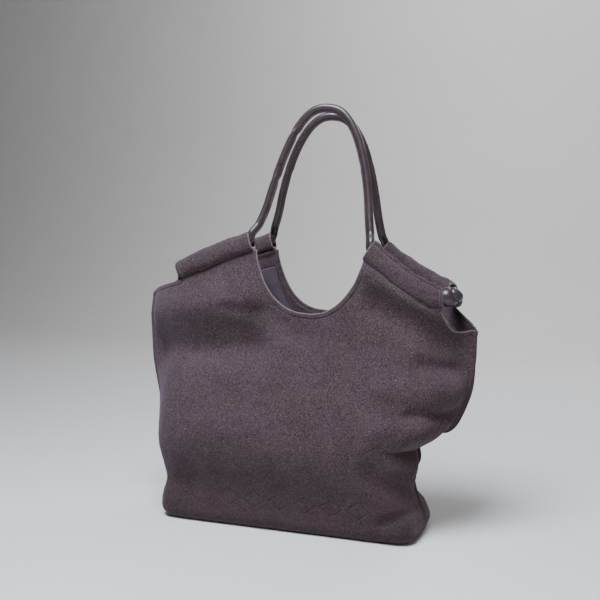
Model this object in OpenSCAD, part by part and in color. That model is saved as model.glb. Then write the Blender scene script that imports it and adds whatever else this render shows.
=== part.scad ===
// Knitting bag: an open tote of thick wool felt that leans a little under its filling.
// Origin at the middle of the base, front towards -Y, right towards +X, Z up.

/* [Body] */
// Length of the body just above its base
base_length = 430; // [380:5:460]
// Depth of the body just above its base
base_depth = 158; // [120:2:180]
// Radius of the soft edge round the base
base_edge = 18; // [12:1:26]
// Width across the side seams at the top
top_width = 536; // [480:2:560]
// Depth between the two panels at the shoulders
top_depth = 90; // [80:2:130]
// Half width of the flat part of each panel at the top
flat_half = 196; // [170:2:210]
// Height at which the body reaches its full width
spread_height = 300; // [200:10:320]
// Angle the filled bag leans towards its right
lean = 5; // [0:0.5:8]
// Height over which the lean sets in
lean_height = 200; // [100:10:250]
// Distance the left side slips outwards as the bag settles
left_slip = 20; // [0:1:30]
// Distance the right side slips inwards as the bag settles
right_slip = 12; // [0:1:30]
// Distance the left side bulges outwards below its shoulder
left_bulge = 7.5; // [0:0.5:12]
// Distance the right side bulges outwards above its fold
right_bulge = 10; // [0:0.5:14]

/* [Side fold] */
// Depth of the fold pushed into the right side
fold_depth = 42; // [0:2:60]
// Height of the fold
fold_height = 108; // [80:2:140]
// Spread of the fold below its deepest line
fold_below = 70; // [40:5:90]
// Spread of the fold above its deepest line
fold_above = 50; // [30:5:80]
// Depth of the crease along the fold's upper side
crease_depth = 28; // [0:2:32]
// Height of the crease at the side seam
crease_height = 155; // [140:1:165]
// Spread of the crease
crease_spread = 22; // [18:1:30]
// How steeply the crease runs down towards the middle of the panel
crease_slope = 0.35; // [0:0.05:0.6]

/* [Top edge] */
// Half width of the neckline
neck_half = 88; // [70:2:100]
// Height of the lowest point of the neckline
neck_floor = 335; // [300:5:360]
// Height of the shoulder at the neckline
shoulder_in = 426; // [400:2:440]
// Height of the shoulder at its outer end
shoulder_out = 364; // [350:2:380]
// Distance of the shoulder's outer end from the middle, along the cloth
shoulder_half = 212; // [200:2:230]
// Sag of the front panel's right shoulder between its ends
right_sag = 9; // [0:1:14]
// Sag of the back panel's right shoulder between its ends
back_sag = 7; // [0:1:14]
// Extra height of the back panel's right shoulder at its outer end
back_lift = 9; // [0:1:14]
// Rise of the left shoulder between its ends
left_rise = 5; // [0:1:10]
// Height of the top of the side seams
side_top = 340; // [310:1:345]
// Dip of the front panel's edge beside its right shoulder
notch_dip = 14; // [0:1:20]

/* [Cloth] */
// Thickness of the wool felt
wool = 3; // [2:0.5:4]
// Thickness of the facing inside the top edge
facing = 2; // [1:0.5:3]
// Width of the facing
facing_drop = 26; // [20:1:35]
// Thickness of the lining
lining = 1.2; // [0.8:0.2:2]
// Clearance between two layers of cloth
layer_gap = 0.5; // [0.3:0.1:1]

/* [Base board] */
// Length of the stiffening board
board_length = 380; // [340:5:390]
// Depth of the stiffening board
board_depth = 116; // [100:2:124]
// Thickness of the stiffening board
board = 2.4; // [1.5:0.1:3]
// Corner radius of the stiffening board
board_corner = 22; // [10:1:30]
// Sideways shift of the board, clear of the fold
board_shift = -6; // [-10:1:0]

/* [Casings] */
// Height of a casing
casing_height = 29; // [26:1:34]
// Depth of a casing
casing_depth = 22; // [20:1:28]
// Thickness of a casing's wall
casing_wall = 3.2; // [2:0.2:4]
// Outer end of three of the casings, along the cloth
casing_out = 206; // [200:1:212]
// Outer end of the back right casing, along the cloth
back_casing_out = 212; // [206:1:220]
// Slant of the cut at the outer end of the right casings, 0 for square
end_cut = 0.45; // [0:0.05:0.5]

/* [Handles] */
// Half width of a handle loop at the casings
loop_half = 90; // [80:1:92]
// Height of the front loop above its hinge line
front_rise = 212; // [180:1:260]
// Height of the back loop above its hinge line
back_rise = 204; // [180:1:260]
// Distance the top of a loop leans inwards
loop_inward = 28; // [0:1:32]
// Diameter of the leather round
round_dia = 10; // [8:0.5:11]
// Width of the seam flange along the leather round
flange_width = 2.6; // [0:0.2:3]
// Thickness of the seam flange
flange_thick = 2.2; // [1.6:0.2:3]
// Diameter of the cord inside the leather
core_dia = 6; // [4:0.5:7]
// Radius of a knot's wraps, to the middle of the strand
knot_radius = 8.8; // [8:0.2:10]
// Width of a knot's first wrap
wrap_width = 15; // [10:1:17]
// Diameter of a knot's second wrap where it is pulled tight
wrap_dia = 8.8; // [7:0.2:10]
// Length of the free end behind a knot
free_end = 9; // [6:1:14]

/* [Hidden] */

wool_colour = [0.27, 0.21, 0.23];
facing_colour = [0.24, 0.18, 0.20];
lining_colour = [0.20, 0.16, 0.19];
board_colour = [0.55, 0.45, 0.33];
leather_colour = [0.16, 0.12, 0.12];
cord_colour = [0.70, 0.66, 0.58];

wing = norm([top_width / 2 - flat_half, top_depth / 2]);
half_cloth = flat_half + wing;
seam_gap = 0.25;
lining_inset = wool + layer_gap;
facing_inset = wool + layer_gap;
lining_floor = wool + 0.3 + board + 0.3;
edge_steps = 4;
wall_rows = [0.1, 0.18, 0.25, 0.32, 0.38, 0.44, 0.5, 0.58, 0.68, 0.79, 0.9, 1];
wall_steps = len(wall_rows);
loop_steps = 28;
slope = atan((shoulder_in - shoulder_out) / (shoulder_half - neck_half));
casing_lift = casing_height / 2 + 1;
casing_in = neck_half + 3;
strand_in = neck_half + 9;
lip_reach = 6.5;

// Smooth ramp that is 0 well below zero and t well above it.
function soft_ramp(t, r) = t > 20 * r ? t : r * ln(1 + exp(t / r));

// Smooth step from 0 at a to 1 at b.
function ease(t, a, b) = let (k = min(1, max(0, (t - a) / (b - a)))) k * k * (3 - 2 * k);

// Half section of the body at cloth position s >= 0 and height z, inset by d.
function base_section(s, d) =
    let (a = base_length / 2 - d, b = base_depth / 2 - d, t = s / half_cloth * (a + b),
         f = soft_ramp(t - a, 12))
    [t - f, b - f];

function top_section(s, d) =
    let (a = top_width / 2 - 1.8 * d, b = top_depth / 2 - d, run = norm([a - flat_half, b]),
         t = s / half_cloth * (flat_half + run), f = soft_ramp(t - flat_half, 14))
    [t - (1 - (a - flat_half) / run) * f, b - b / run * f];

function section(s, z, d) =
    let (k = min(1, z / spread_height), p = (1 - k) * base_section(s, d) + k * top_section(s, d))
    [p[0], max(seam_gap, p[1])];

// Bell curve of height 1 about a middle.
function bell(t, middle, spread) = exp(-pow((t - middle) / spread, 2));

// The right side is pushed in by a fold with a crease above it, and bulges out over the crease.
function fold(x, z) =
    let (crease = crease_height - crease_slope * max(0, 190 - x))
    (fold_depth * bell(z, fold_height, z < fold_height ? fold_below : fold_above)
     + crease_depth * bell(z, crease, crease_spread) - right_bulge * bell(z, 245, 45))
    * ease(x, 90, base_length / 2 - 8);

// The settled bag: its sides slip over and its upper part turns about the Y axis as one.
function leaning(p) =
    let (side = ease(abs(p[0]), 150, 265),
         slip = (p[0] < 0 ? left_slip : right_slip) * ease(p[2], 60, 240),
         bulge = p[0] < 0 ? left_bulge * bell(p[2], 200, 110) : 0,
         x = p[0] - fold(p[0], p[2]) - (slip + bulge) * side,
         k = ease(p[2], 0, lean_height))
    [x * (1 - k + k * cos(lean)) + k * p[2] * sin(lean), p[1],
     p[2] * (1 - k + k * cos(lean)) - k * x * sin(lean)];
seam_line = [for (s = [-half_cloth, half_cloth]) for (z = heights(s, 1))
    leaning([sign(s) * section(half_cloth, z, 0)[0], 0, z])[0]];
middle = (min(seam_line) + max(seam_line)) / 2;
function settled(p) = leaning(p) - [middle, 0, 0];

// Heights of a panel's neckline, shoulder and side notch at cloth position s.
function neck_edge(s) =
    shoulder_in - (shoulder_in - neck_floor) * pow(max(0, 1 - pow(s / neck_half, 2.5)), 0.78);
function lift_of(s, side) = s > 0 && side > 0 ? back_lift : 0;
function sag_of(s, side) = s < 0 ? -left_rise : side > 0 ? back_sag : right_sag;
function shoulder_edge(s, side) =
    let (t = (abs(s) - neck_half) / (shoulder_half - neck_half))
    shoulder_in - (abs(s) - neck_half) * tan(slope) + lift_of(s, side) * t
    - sag_of(s, side) * sin(180 * min(1, max(0, t)));
function notch_edge(s, side) =
    let (t = (abs(s) - shoulder_half) / (half_cloth - shoulder_half), dips = s > 0 && side < 0,
         drop = shoulder_out + lift_of(s, side) - side_top)
    side_top + drop * pow(max(0, 1 - t), dips ? 2.2 : 1)
    - (dips ? notch_dip : 0) * sin(180 * pow(t, 0.8));

// Height of a panel's top edge at cloth position s.
function top_edge(s, side) =
    let (t = abs(s))
    t < neck_half ? neck_edge(t) : t < shoulder_half ? shoulder_edge(s, side) : notch_edge(s, side);

// Heights of the rows of cloth above the soft edge, the last two with the facing between them.
function heights(s, side) = concat(
    [for (k = wall_rows) base_edge + (top_edge(s, side) - facing_drop - 1 - base_edge) * k],
    [top_edge(s, side)]);

// A point of the body's wall. Side is -1 for the front and 1 for the back.
function wall_point(s, z, d, side) =
    let (p = section(abs(s), z, d))
    settled([sign(s) * p[0], side * p[1], z]);

// A point on the soft edge between wall and floor, from turn 90 (wall) to 0 (floor).
function edge_point(s, turn, d, floor_z, side) =
    let (p = section(abs(s), base_edge, d), q = section(abs(s), base_edge, base_edge),
         k = sin(turn), x = sign(s) * (q[0] + (p[0] - q[0]) * k),
         y = max(seam_gap, q[1] + (p[1] - q[1]) * k),
         z = base_edge - (base_edge - floor_z) * cos(turn))
    settled([x, side * y, z]);

// Where the two panels meet under the base.
function floor_point(s, floor_z, side) =
    settled([s / half_cloth * (base_length / 2 - base_edge - 14), side * seam_gap, floor_z]);

// Cloth positions of the columns of every layer, closer together where the edge turns.
half_columns = [0, 22, 42, 58, 70, 78, 84, 87, neck_half, 110, 135, 160, 180, 198,
                shoulder_half, 217, 224, 234, 248, 264, half_cloth];
columns = concat([for (i = [len(half_columns) - 1 : -1 : 1]) -half_columns[i]], half_columns);

function layer(d, floor_z, side, rows) = concat(
    [[for (s = columns) floor_point(s, floor_z, side)]],
    [for (k = [0 : edge_steps])
        [for (s = columns) edge_point(s, 90 * k / edge_steps, d, floor_z, side)]],
    [for (k = [0 : rows - 1]) [for (s = columns) wall_point(s, heights(s, side)[k], d, side)]]);

function strip(d, side) = [for (z = [-facing_drop, 0])
    [for (s = columns) wall_point(s, top_edge(s, side) + z, d, side)]];

// Closed solid between two grids of points of the same size.
module cloth(outer, inner, side) {
    rows = len(outer);
    cols = len(outer[0]);
    count = rows * cols;
    function at(layer, r, c) = layer * count + r * cols + c;
    function quad(a, b, c, d) = [[a, b, c], [a, c, d]];
    // The two halves of the cloth mirror each other.
    function mirrored_quad(k, c) =
        c < (cols - 1) / 2 ? quad(k[0], k[1], k[2], k[3]) : quad(k[1], k[2], k[3], k[0]);
    skins = [for (r = [0 : rows - 2]) for (c = [0 : cols - 2]) each concat(
        mirrored_quad([at(0, r, c), at(0, r + 1, c), at(0, r + 1, c + 1), at(0, r, c + 1)], c),
        mirrored_quad([at(1, r + 1, c), at(1, r, c), at(1, r, c + 1), at(1, r + 1, c + 1)],
                      cols - 2 - c))];
    ends = [for (c = [0 : cols - 2]) each concat(
        quad(at(0, 0, c), at(0, 0, c + 1), at(1, 0, c + 1), at(1, 0, c)),
        quad(at(0, rows - 1, c + 1), at(0, rows - 1, c), at(1, rows - 1, c), at(1, rows - 1, c + 1)))];
    sides = [for (r = [0 : rows - 2]) each concat(
        quad(at(0, r + 1, 0), at(0, r, 0), at(1, r, 0), at(1, r + 1, 0)),
        quad(at(0, r, cols - 1), at(0, r + 1, cols - 1), at(1, r + 1, cols - 1), at(1, r, cols - 1)))];
    faces = concat(skins, ends, sides);
    turned = side < 0 ? faces : [for (f = faces) [f[2], f[1], f[0]]];
    polyhedron(points = concat([for (r = outer) each r], [for (r = inner) each r]), faces = turned);
}

module panel(side) {
    rows = wall_steps + 1;
    color(wool_colour) cloth(layer(0, 0, side, rows), layer(wool, wool, side, rows), side);
}

module facing_strip(side) {
    color(facing_colour) cloth(strip(facing_inset, side), strip(facing_inset + facing, side), side);
}

module lining_half(side) {
    color(lining_colour)
        cloth(layer(lining_inset, lining_floor, side, wall_steps),
              layer(lining_inset + lining, lining_floor + lining, side, wall_steps), side);
}

module base_board() {
    color(board_colour)
        translate(settled([board_shift, 0, wool + 0.3])) linear_extrude(board) difference() {
            square([board_length, board_depth], center = true);
            for (sx = [-1, 1]) for (sy = [-1, 1])
                translate([sx * board_length / 2, sy * board_depth / 2]) difference() {
                    square(2 * board_corner, center = true);
                    translate([-sx * board_corner, -sy * board_corner]) circle(board_corner, $fn = 48);
                }
        }
}

// Middle line of a casing at cloth position s of one shoulder.
function casing_line(s, hand, side) =
    let (p = section(s, spread_height, wool / 2))
    settled([hand * (p[0] + casing_lift * sin(slope)), side * p[1],
             shoulder_edge(hand * s, side) + casing_lift * cos(slope)]);
function casing_end(hand, side) = hand > 0 && side > 0 ? back_casing_out : casing_out;

// Frame of a sweep at point i of a path: the path's direction, an outward and an upward axis.
function direction(path, i) =
    let (a = path[max(0, i - 1)], b = path[min(len(path) - 1, i + 1)]) (b - a) / norm(b - a);
function unit(v) = v / norm(v);

// Ring of points round one place of a path, for an outline in the plane across it. A cut slants
// that plane, so that the upper points move back along the path.
function ring(path, i, outline, up, cut) =
    let (t = direction(path, i), n = unit(cross(t, up)), b = cross(n, t))
    [for (q = outline) path[i] + q[0] * n + q[1] * (b - cut * t)];

// Closed solid swept along a path; an inner outline makes it a tube, and its end may be cut at a slant.
module sweep(path, outline, up, bore = [], cut = 0) {
    n = len(outline);
    rings = len(path);
    hollow = len(bore) > 0;
    cuts = [for (i = [0 : rings - 1]) cut * pow(i / (rings - 1), 4)];
    outer = [for (i = [0 : rings - 1]) each ring(path, i, outline, up, cuts[i])];
    inner = hollow ? [for (i = [0 : rings - 1]) each ring(path, i, bore, up, cuts[i])] : [];
    function o(i, k) = i * n + k % n;
    function q(i, k) = rings * n + i * n + k % n;
    skin = [for (i = [0 : rings - 2]) for (k = [0 : n - 1]) each
        [[o(i, k), o(i, k + 1), o(i + 1, k + 1)], [o(i, k), o(i + 1, k + 1), o(i + 1, k)]]];
    bore_skin = !hollow ? [] : [for (i = [0 : rings - 2]) for (k = [0 : n - 1]) each
        [[q(i, k), q(i + 1, k + 1), q(i, k + 1)], [q(i, k), q(i + 1, k), q(i + 1, k + 1)]]];
    rims = !hollow ? [] : [for (k = [0 : n - 1]) each
        [[o(0, k), q(0, k + 1), o(0, k + 1)], [o(0, k), q(0, k), q(0, k + 1)],
         [o(rings - 1, k), o(rings - 1, k + 1), q(rings - 1, k + 1)],
         [o(rings - 1, k), q(rings - 1, k + 1), q(rings - 1, k)]]];
    caps = hollow ? [] : [[for (k = [n - 1 : -1 : 0]) o(0, k)], [for (k = [0 : n - 1]) o(rings - 1, k)]];
    polyhedron(points = concat(outer, inner), faces = concat(skin, bore_skin, rims, caps));
}

function oval(w, h, n) = [for (k = [0 : n - 1]) [w / 2 * cos(360 * k / n), h / 2 * sin(360 * k / n)]];

// Round with a narrow flange on one side, where the leather strip is sewn shut.
function keyhole(dia, flange) =
    let (r = dia / 2, a = asin(flange_thick / dia))
    concat([for (k = [0 : 12]) r * [cos(a + k * (360 - 2 * a) / 12), sin(a + k * (360 - 2 * a) / 12)]],
           [[r + flange, -flange_thick / 2], [r + flange, flange_thick / 2]]);

module casing(hand, side) {
    path = [for (k = [0 : 9])
        casing_line(casing_in + (casing_end(hand, side) - casing_in) * k / 9, hand, side)];
    color(wool_colour)
        sweep(path, oval(casing_depth, casing_height, 20), [0, 0, 1],
              oval(casing_depth - 2 * casing_wall, casing_height - 2 * casing_wall, 20),
              hand > 0 ? end_cut : 0);
}

hinge_z = shoulder_in + casing_lift * cos(slope);
hinge_y = top_depth / 2 - wool / 2;

// Path of a handle loop between its two casings.
function loop_path(side) = [for (k = [0 : loop_steps])
    let (turn = 180 * k / loop_steps, up = pow(sin(turn), 1.43), rise = side < 0 ? front_rise : back_rise)
    settled([-sign(cos(turn)) * loop_half * pow(abs(cos(turn)), 0.83),
             side * (hinge_y - loop_inward * (1 - exp(-3.2 * up)) / (1 - exp(-3.2))),
             hinge_z + rise * up])];

module loop_leather(side) {
    color(leather_colour)
        sweep(loop_path(side), keyhole(round_dia, flange_width), [0, -1, 0],
              oval(core_dia + 0.4, core_dia + 0.4, 15));
}

module loop_cord(side) {
    color(cord_colour) sweep(loop_path(side), oval(core_dia, core_dia, 10), [0, -1, 0]);
}

// The part of a handle that lies inside its casing.
module handle_end(hand, side) {
    path = [for (k = [0 : 7])
        casing_line(strand_in + (casing_end(hand, side) - 1 - strand_in) * k / 7, hand, side)];
    color(leather_colour) sweep(path, oval(round_dia, round_dia, 14), [0, 0, 1]);
}

// How far a knot lies beyond its casing, towards the middle of the bag and upwards.
function knot_shift(hand, side) =
    hand > 0 ? (side < 0 ? [16, 0, 8] : [9, 22, -4]) : side < 0 ? [13, 24, -24] : [13, 6, 1];

// Direction of a knot's axis, from its casing outwards.
function knot_axis(hand, side) =
    unit(hand > 0 ? (side < 0 ? [1, 0, 0.35] : [0.1, -1, -0.15])
         : side < 0 ? [-0.2, 0.64, -0.75] : [-0.7, -0.6, -0.3]);

// Ring of leather about the Z axis.
module wrap(radius, thick, width) {
    n = 18;
    m = 8;
    points = [for (i = [0 : n - 1]) for (j = [0 : m - 1])
        let (a = 360 * i / n, b = 360 * j / m, r = radius + thick / 2 * cos(b))
        [r * cos(a), r * sin(a), width / 2 * sin(b)]];
    function at(i, j) = (i % n) * m + j % m;
    faces = [for (i = [0 : n - 1]) for (j = [0 : m - 1]) each
        [[at(i, j), at(i, j + 1), at(i + 1, j + 1)], [at(i, j), at(i + 1, j + 1), at(i + 1, j)]]];
    polyhedron(points = points, faces = faces);
}

// Two wraps about the Z axis, the first wide and the second tight.
module knot_wraps() {
    wrap(knot_radius, 10, wrap_width);
    translate([0, 0, wrap_width / 2 + 2]) rotate([12, 0, 0]) wrap(knot_radius - 1.4, wrap_dia, wrap_dia);
}

// Stopper knot beyond the end of a casing, with the strand that leads to it.
module knot(hand, side) {
    shift = knot_shift(hand, side);
    end = casing_end(hand, side);
    lip = casing_line(end + lip_reach, hand, side);
    centre = casing_line(end + shift[0], hand, side) + [0, -side * shift[1], shift[2]];
    away = knot_axis(hand, side);
    path = [casing_line(end + 1.4, hand, side), lip, centre, centre + (wrap_width / 2 + free_end) * away];
    color(leather_colour) {
        sweep(path, oval(round_dia - 0.6, round_dia - 0.6, 10), [0.3, 0.2, 1]);
        translate(centre) rotate([0, acos(away[2]), atan2(away[1], away[0])]) knot_wraps();
    }
}

panel(-1);  // front_panel
panel(1);  // back_panel
facing_strip(-1);  // front_facing
facing_strip(1);  // back_facing
lining_half(-1);  // front_lining
lining_half(1);  // back_lining
base_board();
casing(-1, -1);  // front_left_casing
casing(1, -1);  // front_right_casing
casing(-1, 1);  // back_left_casing
casing(1, 1);  // back_right_casing
loop_leather(-1);  // front_handle_leather
loop_leather(1);  // back_handle_leather
loop_cord(-1);  // front_handle_cord
loop_cord(1);  // back_handle_cord
handle_end(-1, -1);  // front_left_handle_end
handle_end(1, -1);  // front_right_handle_end
handle_end(-1, 1);  // back_left_handle_end
handle_end(1, 1);  // back_right_handle_end
knot(-1, -1);  // front_left_knot
knot(1, -1);  // front_right_knot
knot(-1, 1);  // back_left_knot
knot(1, 1);  // back_right_knot
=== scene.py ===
"""Knitting bag of melange wool felt with knotted leather handles, on a plain floor.

Everything is in metres in the CAD frame: front panel towards -Y, the bag's right towards +X.
"""
import math

import bmesh
import bpy
import numpy as np
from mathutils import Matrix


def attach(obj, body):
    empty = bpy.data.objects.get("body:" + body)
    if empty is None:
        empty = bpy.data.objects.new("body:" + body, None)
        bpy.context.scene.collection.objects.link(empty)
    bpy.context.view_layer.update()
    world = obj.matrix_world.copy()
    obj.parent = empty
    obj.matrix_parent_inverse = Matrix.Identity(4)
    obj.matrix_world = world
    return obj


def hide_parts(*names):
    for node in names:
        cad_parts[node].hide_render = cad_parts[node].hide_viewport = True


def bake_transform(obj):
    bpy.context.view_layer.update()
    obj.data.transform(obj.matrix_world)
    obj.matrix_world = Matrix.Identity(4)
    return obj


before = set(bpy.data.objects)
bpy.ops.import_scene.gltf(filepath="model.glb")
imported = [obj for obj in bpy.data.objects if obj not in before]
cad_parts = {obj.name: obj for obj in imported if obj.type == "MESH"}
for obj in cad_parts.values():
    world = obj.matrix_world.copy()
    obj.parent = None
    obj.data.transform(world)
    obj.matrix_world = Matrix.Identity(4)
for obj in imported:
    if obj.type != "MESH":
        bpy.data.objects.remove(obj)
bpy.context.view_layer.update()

# ---------------------------------------------------------------- sizes, as in the CAD source
BASE_LENGTH = 0.430
BASE_DEPTH = 0.158
BASE_EDGE = 0.018
TOP_WIDTH = 0.536
TOP_DEPTH = 0.090
FLAT_HALF = 0.196
SPREAD_HEIGHT = 0.300
LEAN = math.radians(5)
LEAN_HEIGHT = 0.200
LEFT_SLIP = 0.020
RIGHT_SLIP = 0.012
FOLD_DEPTH = 0.042
FOLD_HEIGHT = 0.108
FOLD_BELOW = 0.070
FOLD_ABOVE = 0.050
CREASE_DEPTH = 0.028
CREASE_HEIGHT = 0.155
CREASE_SPREAD = 0.022
CREASE_SLOPE = 0.35
LEFT_BULGE = 0.0075
RIGHT_BULGE = 0.010
NECK_HALF = 0.088
NECK_FLOOR = 0.335
SHOULDER_IN = 0.426
SHOULDER_OUT = 0.364
SHOULDER_HALF = 0.212
RIGHT_SAG = 0.009
BACK_SAG = 0.007
BACK_LIFT = 0.009
LEFT_RISE = 0.005
SIDE_TOP = 0.340
NOTCH_DIP = 0.014
MIDDLE = 0.010642  # shift that puts the middle of the whole box at x = 0
WOOL = 0.003
FACING = 0.002
FACING_DROP = 0.026
LINING = 0.0012
LINING_FLOOR = 0.006
LAYER_GAP = 0.0005
CASING_HEIGHT = 0.029
CASING_DEPTH = 0.022
CASING_WALL = 0.0032
CASING_OUT = 0.206
BACK_CASING_OUT = 0.212
END_CUT = 0.45
LOOP_HALF = 0.090
LOOP_RISE = {-1: 0.212, 1: 0.204}
LOOP_INWARD = 0.028
SEAM_GAP = 0.00025

# ---------------------------------------------------------------- sizes that only the looks have
# The leather round and its flange are a little fuller here than in the CAD source.
ROUND = 0.0053
FLANGE = 0.0029
FELT_APART = 0.0028
FOLD_STRENGTH = 1.35
HEM = 0.0065
SEAM_ALLOWANCE = 0.0070
CORNER_RUN = 0.012
CORNER_DROP = 0.0055
MOUTH_FLARE = 0.0125
RIGHT_FLARE = 0.6
FLARE_HEIGHT = 0.058
BEND_TOP = 0.030
FLANGE_HALF = 0.0011
CORE_RADIUS = 0.0029
KNOT_STRAND = 0.0049
THREAD_SINK = 0.00008
FLOOR_DROP = 0.0004

# ---------------------------------------------------------------- sizes that follow from those above
HALF_CLOTH = FLAT_HALF + math.hypot(TOP_WIDTH / 2 - FLAT_HALF, TOP_DEPTH / 2)
SLOPE = math.atan((SHOULDER_IN - SHOULDER_OUT) / (SHOULDER_HALF - NECK_HALF))
CASING_LIFT = CASING_HEIGHT / 2 + 0.001
HINGE_Z = SHOULDER_IN + CASING_LIFT * math.cos(SLOPE)
HINGE_Y = TOP_DEPTH / 2 - WOOL / 2


# ---------------------------------------------------------------- the shape of the settled bag
def ease(t, a, b):
    """Smooth step from 0 at a to 1 at b."""
    k = np.clip((t - a) / (b - a), 0, 1)
    return k * k * (3 - 2 * k)


def soft_ramp(t, r):
    """0 below zero and t above it, with a bend of radius about r between."""
    return r * np.logaddexp(0, t / r)


def section(s, z):
    """Half section of the body at cloth position s >= 0 and height z."""
    a, b = BASE_LENGTH / 2, BASE_DEPTH / 2
    t = s / HALF_CLOTH * (a + b)
    f = soft_ramp(t - a, 0.012)
    xb, yb = t - f, b - f
    a, b = TOP_WIDTH / 2, TOP_DEPTH / 2
    run = HALF_CLOTH - FLAT_HALF
    f = soft_ramp(s - FLAT_HALF, 0.014)
    xt, yt = s - (1 - (a - FLAT_HALF) / run) * f, b - b / run * f
    k = np.minimum(1, z / SPREAD_HEIGHT)
    return (1 - k) * xb + k * xt, np.maximum(SEAM_GAP, (1 - k) * yb + k * yt)


def bell(t, middle, spread):
    """1 at the middle, falling off smoothly to both sides."""
    return np.exp(-(((t - middle) / spread) ** 2))


def settled(x, y, z):
    """Lets a point of the upright bag slip, fold in at the right side and lean."""
    low = np.where(z < FOLD_HEIGHT, FOLD_BELOW, FOLD_ABOVE)
    crease = CREASE_HEIGHT - CREASE_SLOPE * np.maximum(0, 0.190 - x)
    fold = FOLD_DEPTH * bell(z, FOLD_HEIGHT, low) + CREASE_DEPTH * bell(z, crease, CREASE_SPREAD)
    fold = (fold - RIGHT_BULGE * bell(z, 0.245, 0.045)) * ease(x, 0.090, BASE_LENGTH / 2 - 0.008)
    slip = np.where(x < 0, LEFT_SLIP, RIGHT_SLIP) * ease(z, 0.060, 0.240)
    bulge = np.where(x < 0, LEFT_BULGE * bell(z, 0.200, 0.110), 0)
    x = x - fold - (slip + bulge) * ease(abs(x), 0.150, 0.265)
    k = ease(z, 0, LEAN_HEIGHT)
    c, s = 1 - k + k * math.cos(LEAN), k * math.sin(LEAN)
    return np.stack([x * c + z * s - MIDDLE, y + 0 * x, z * c - x * s], axis=-1)


def shoulder_edge(s, side):
    """Height of the slanted shoulders, which sag a little between their ends."""
    t = np.clip((abs(s) - NECK_HALF) / (SHOULDER_HALF - NECK_HALF), 0, 1)
    sag = np.where(s < 0, -LEFT_RISE, BACK_SAG if side > 0 else RIGHT_SAG) * np.sin(math.pi * t)
    lift = np.where(s > 0, BACK_LIFT if side > 0 else 0, 0)
    beyond = (abs(s) - NECK_HALF) / (SHOULDER_HALF - NECK_HALF)
    return SHOULDER_IN - (abs(s) - NECK_HALF) * math.tan(SLOPE) + lift * beyond - sag


def notch_edge(s, side):
    """Height of the edge from a shoulder's outer end to the side seam; the front right one dips."""
    t = np.clip((abs(s) - SHOULDER_HALF) / (HALF_CLOTH - SHOULDER_HALF), 0, 1)
    lift = np.where(s > 0, BACK_LIFT if side > 0 else 0, 0)
    straight = SIDE_TOP + (SHOULDER_OUT + lift - SIDE_TOP) * (1 - t)
    dipped = SIDE_TOP + (SHOULDER_OUT - SIDE_TOP) * (1 - t) ** 2.2 - NOTCH_DIP * np.sin(math.pi * t ** 0.8)
    return np.where((s > 0) & (side < 0), dipped, straight)


def top_edge(s, side):
    """Height of a panel's top edge: neckline, shoulder, side notch."""
    t = abs(s)
    neck = SHOULDER_IN - (SHOULDER_IN - NECK_FLOOR) * np.maximum(0, 1 - (t / NECK_HALF) ** 2.5) ** 0.78
    beside = np.where(t < SHOULDER_HALF, shoulder_edge(s, side), notch_edge(s, side))
    return np.where(t < NECK_HALF, neck, beside)


def casing_end(hand, side):
    """Cloth position of a casing's outer end."""
    return BACK_CASING_OUT if hand > 0 and side > 0 else CASING_OUT


def casing_line(s, hand, side, extra=0.0):
    """Middle line of a casing at cloth position s of one shoulder, or a line extra above it."""
    s = np.asarray(s, float)
    lift = CASING_LIFT + np.asarray(extra)
    x, y = section(s, SPREAD_HEIGHT + 0 * s)
    z = shoulder_edge(hand * s, side) + lift * math.cos(SLOPE)
    y = np.maximum(y - WOOL / 2, SEAM_GAP)
    return settled(hand * (x + lift * math.sin(SLOPE)), side * y, z)


def flare(hand, rise):
    """How far a handle's leg stands out sideways near its casing, at a rise above the hinge line."""
    widest = MOUTH_FLARE * np.where(hand < 0, 1.0, RIGHT_FLARE)
    return widest * np.maximum(0, 1 - rise / FLARE_HEIGHT) ** 1.7


def loop_line(turn, side):
    """Path of a handle loop; turn runs from 0 at its left end to pi at its right end."""
    up = np.maximum(np.sin(turn), 0) ** 1.43
    hand = -np.sign(np.cos(turn))
    x = hand * (LOOP_HALF * abs(np.cos(turn)) ** 0.83 + flare(hand, LOOP_RISE[side] * up))
    y = side * (HINGE_Y - LOOP_INWARD * (1 - np.exp(-3.2 * up)) / (1 - math.exp(-3.2)))
    return settled(x, y, HINGE_Z + LOOP_RISE[side] * up)


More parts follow.
